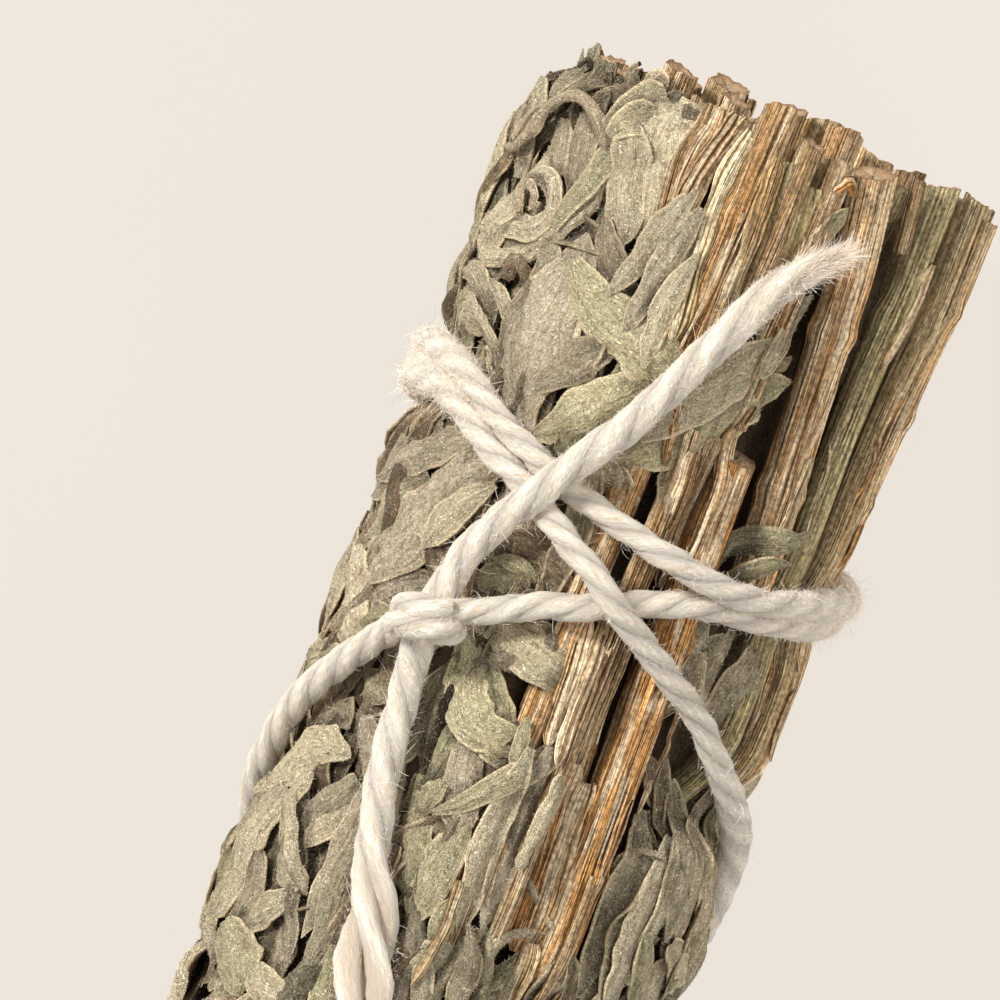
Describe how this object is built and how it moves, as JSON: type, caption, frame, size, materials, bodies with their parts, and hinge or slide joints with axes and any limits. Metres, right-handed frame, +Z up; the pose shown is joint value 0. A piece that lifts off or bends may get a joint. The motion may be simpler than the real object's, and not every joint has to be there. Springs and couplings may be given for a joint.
{
  "type": "smudge stick",
  "caption": "Dried sage bundle lying on its side: woody stems cut level at one end, grey-green felted leaves, bound crosswise with knotted off-white cotton twine",
  "frame": {"origin": "centre of the bounding box in X and Y, at the surface the bundle lies on", "axes": "+X along the bundle towards the cut stem ends, +Z up, +Y to the side away from the bare stems"},
  "size_m": [0.1072, 0.0362, 0.0348],
  "materials": {
    "dried_leaf": "matt, felted with short pale hairs",
    "woody_stem": "matt ridged bark",
    "cotton_twine": "soft, slightly fuzzy twisted cotton"
  },
  "bodies": {
    "root": {"binding_twine": "cotton_twine", "inner_stem_01": "woody_stem", "inner_stem_02": "woody_stem", "inner_stem_03": "woody_stem", "inner_stem_04": "woody_stem", "inner_stem_05": "woody_stem", "inner_stem_06": "woody_stem", "inner_stem_07": "woody_stem", "inner_stem_08": "woody_stem", "inner_stem_09": "woody_stem", "inner_stem_10": "woody_stem", "inner_stem_11": "woody_stem", "inner_stem_12": "woody_stem", "inner_stem_13": "woody_stem", "inner_stem_14": "woody_stem", "inner_stem_15": "woody_stem", "inner_stem_16": "woody_stem", "inner_stem_17": "woody_stem", "inner_stem_18": "woody_stem", "leafy_sprig_left": "dried_leaf", "leafy_sprig_lower_right": "dried_leaf", "leafy_sprig_right": "dried_leaf", "leafy_sprig_top": "dried_leaf", "leafy_sprig_under": "dried_leaf", "leafy_sprig_under_left": "dried_leaf", "leafy_sprig_under_right": "dried_leaf", "leafy_sprig_upper_left": "dried_leaf", "leafy_tips": "dried_leaf", "woody_stem_01": "woody_stem", "woody_stem_02": "woody_stem", "woody_stem_03": "woody_stem", "woody_stem_04": "woody_stem", "woody_stem_05": "woody_stem", "woody_stem_06": "woody_stem", "woody_stem_07": "woody_stem", "woody_stem_08": "woody_stem", "woody_stem_09": "woody_stem", "woody_stem_10": "woody_stem", "woody_stem_11": "woody_stem", "woody_stem_12": "woody_stem", "woody_stem_13": "woody_stem", "woody_stem_14": "woody_stem"}
  },
  "joints": []
}
